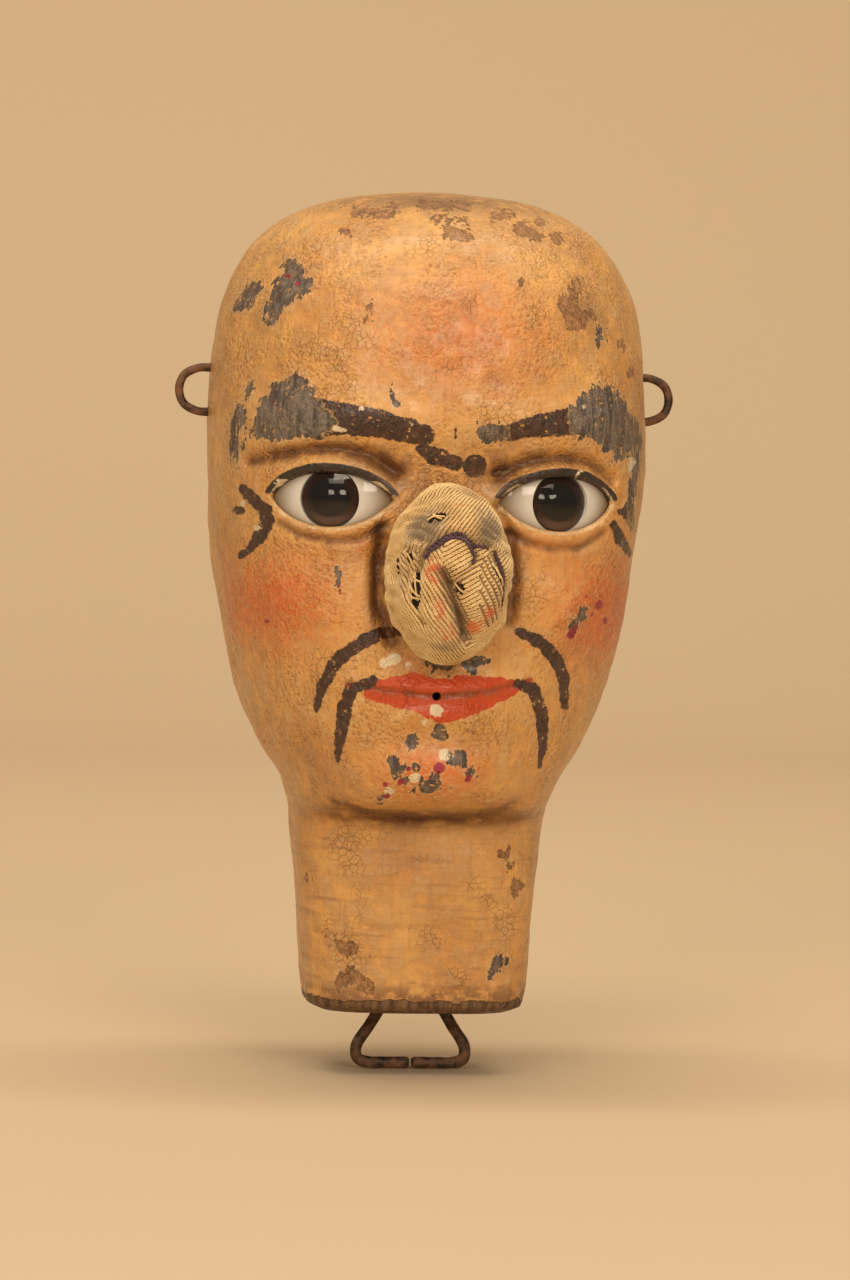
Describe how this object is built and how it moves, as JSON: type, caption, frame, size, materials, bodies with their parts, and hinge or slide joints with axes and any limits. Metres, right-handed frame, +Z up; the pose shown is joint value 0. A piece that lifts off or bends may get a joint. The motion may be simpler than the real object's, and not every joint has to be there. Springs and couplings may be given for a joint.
{
  "type": "marionette head",
  "caption": "Carved and painted wooden marionette head on a tapered neck, with glass eyes, a knit-wrapped nose, wire string loops at the temples and a swinging wire link under the neck.",
  "frame": {"origin": "centre of the flat underside of the neck, which rests on the neck opening of the body", "axes": "+Z up to the crown, -Y the way the face looks, +X to the left of a viewer behind it and to the right of a viewer in front"},
  "size_m": [0.095, 0.1014, 0.1664],
  "materials": {
    "painted_wood": "crazed, worn oil paint over gesso on carved wood",
    "bare_wood": "bare, darkened wood",
    "white_glass": "opaque white glass, high gloss",
    "brown_glass": "dark brown glass, high gloss",
    "black_glass": "black glass, high gloss",
    "clear_glass": "clear polished glass",
    "wax": "dull brown setting wax",
    "iron_wire": "dark, slightly rusted iron wire",
    "knit_cloth": "grimy ribbed knit",
    "stuffing": "dark brown matted stuffing",
    "thread": "twisted purple-black sewing thread"
  },
  "bodies": {
    "head": {"head_block": "painted_wood", "face_mask": "painted_wood", "mask_dowel_upper_left": "bare_wood", "mask_dowel_upper_right": "bare_wood", "mask_dowel_lower_left": "bare_wood", "mask_dowel_lower_right": "bare_wood", "eye_white_left": "white_glass", "eye_iris_left": "brown_glass", "eye_pupil_left": "black_glass", "eye_cornea_left": "clear_glass", "eye_bedding_left": "wax", "eye_white_right": "white_glass", "eye_iris_right": "brown_glass", "eye_pupil_right": "black_glass", "eye_cornea_right": "clear_glass", "eye_bedding_right": "wax", "temple_loop_left": "iron_wire", "temple_loop_right": "iron_wire", "neck_staple": "iron_wire", "nose_peg": "bare_wood", "nose_core": "stuffing", "nose_cloth": "knit_cloth", "nose_thread_upper": "thread", "nose_thread_side": "thread"},
    "link": {"neck_link": "iron_wire"}
  },
  "joints": [
    {"name": "link_swing", "type": "hinge", "parent": "head", "child": "link", "pos_m": [0, 0, 0.0046], "axis": [0, 1, 0], "range_deg": [-20, 20]}
  ]
}
